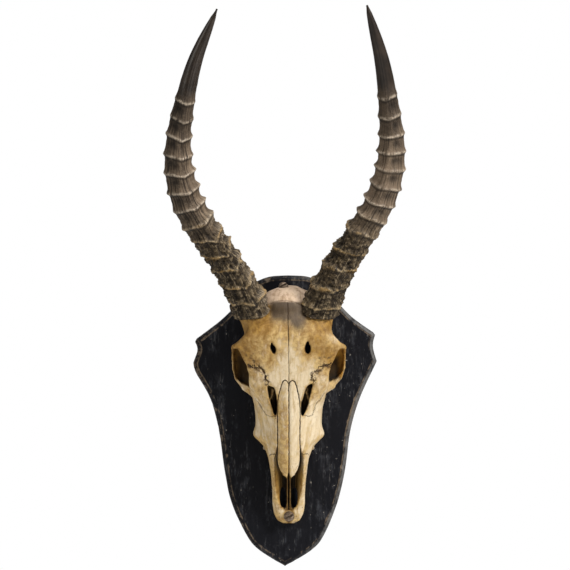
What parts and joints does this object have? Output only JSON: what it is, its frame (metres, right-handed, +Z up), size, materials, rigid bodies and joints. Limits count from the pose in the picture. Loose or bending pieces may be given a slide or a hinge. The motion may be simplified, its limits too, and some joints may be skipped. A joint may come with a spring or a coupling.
{
  "type": "springbok skull trophy",
  "caption": "Upper skull of a springbok with ringed, lyre-shaped horns, screwed face-on to a black shield-shaped wooden wall board.",
  "frame": {"origin": "middle of the shield's back face, which lies on the wall", "axes": "+Z up along the shield and the horns, +Y from the face into the wall, +X to the right as seen from the front"},
  "size_m": [0.2032, 0.1557, 0.4748],
  "materials": {
    "black_paint": "black paint on wood, worn to grey and brown along its edges",
    "bone": "dry cream and ochre bone with brown stains",
    "horn": "ringed brown-grey horn with a smooth dark tip",
    "enamel": "worn ivory tooth enamel",
    "screw_metal": "dark tarnished brown metal"
  },
  "bodies": {
    "root": {"shield": "black_paint", "skull": "bone", "left_horn": "horn", "right_horn": "horn", "left_premolar_1": "enamel", "left_premolar_2": "enamel", "left_premolar_3": "enamel", "left_molar_1": "enamel", "left_molar_2": "enamel", "left_molar_3": "enamel", "right_premolar_1": "enamel", "right_premolar_2": "enamel", "right_premolar_3": "enamel", "right_molar_1": "enamel", "right_molar_2": "enamel", "right_molar_3": "enamel", "nose_screw": "screw_metal", "crown_screw": "screw_metal"}
  },
  "joints": []
}
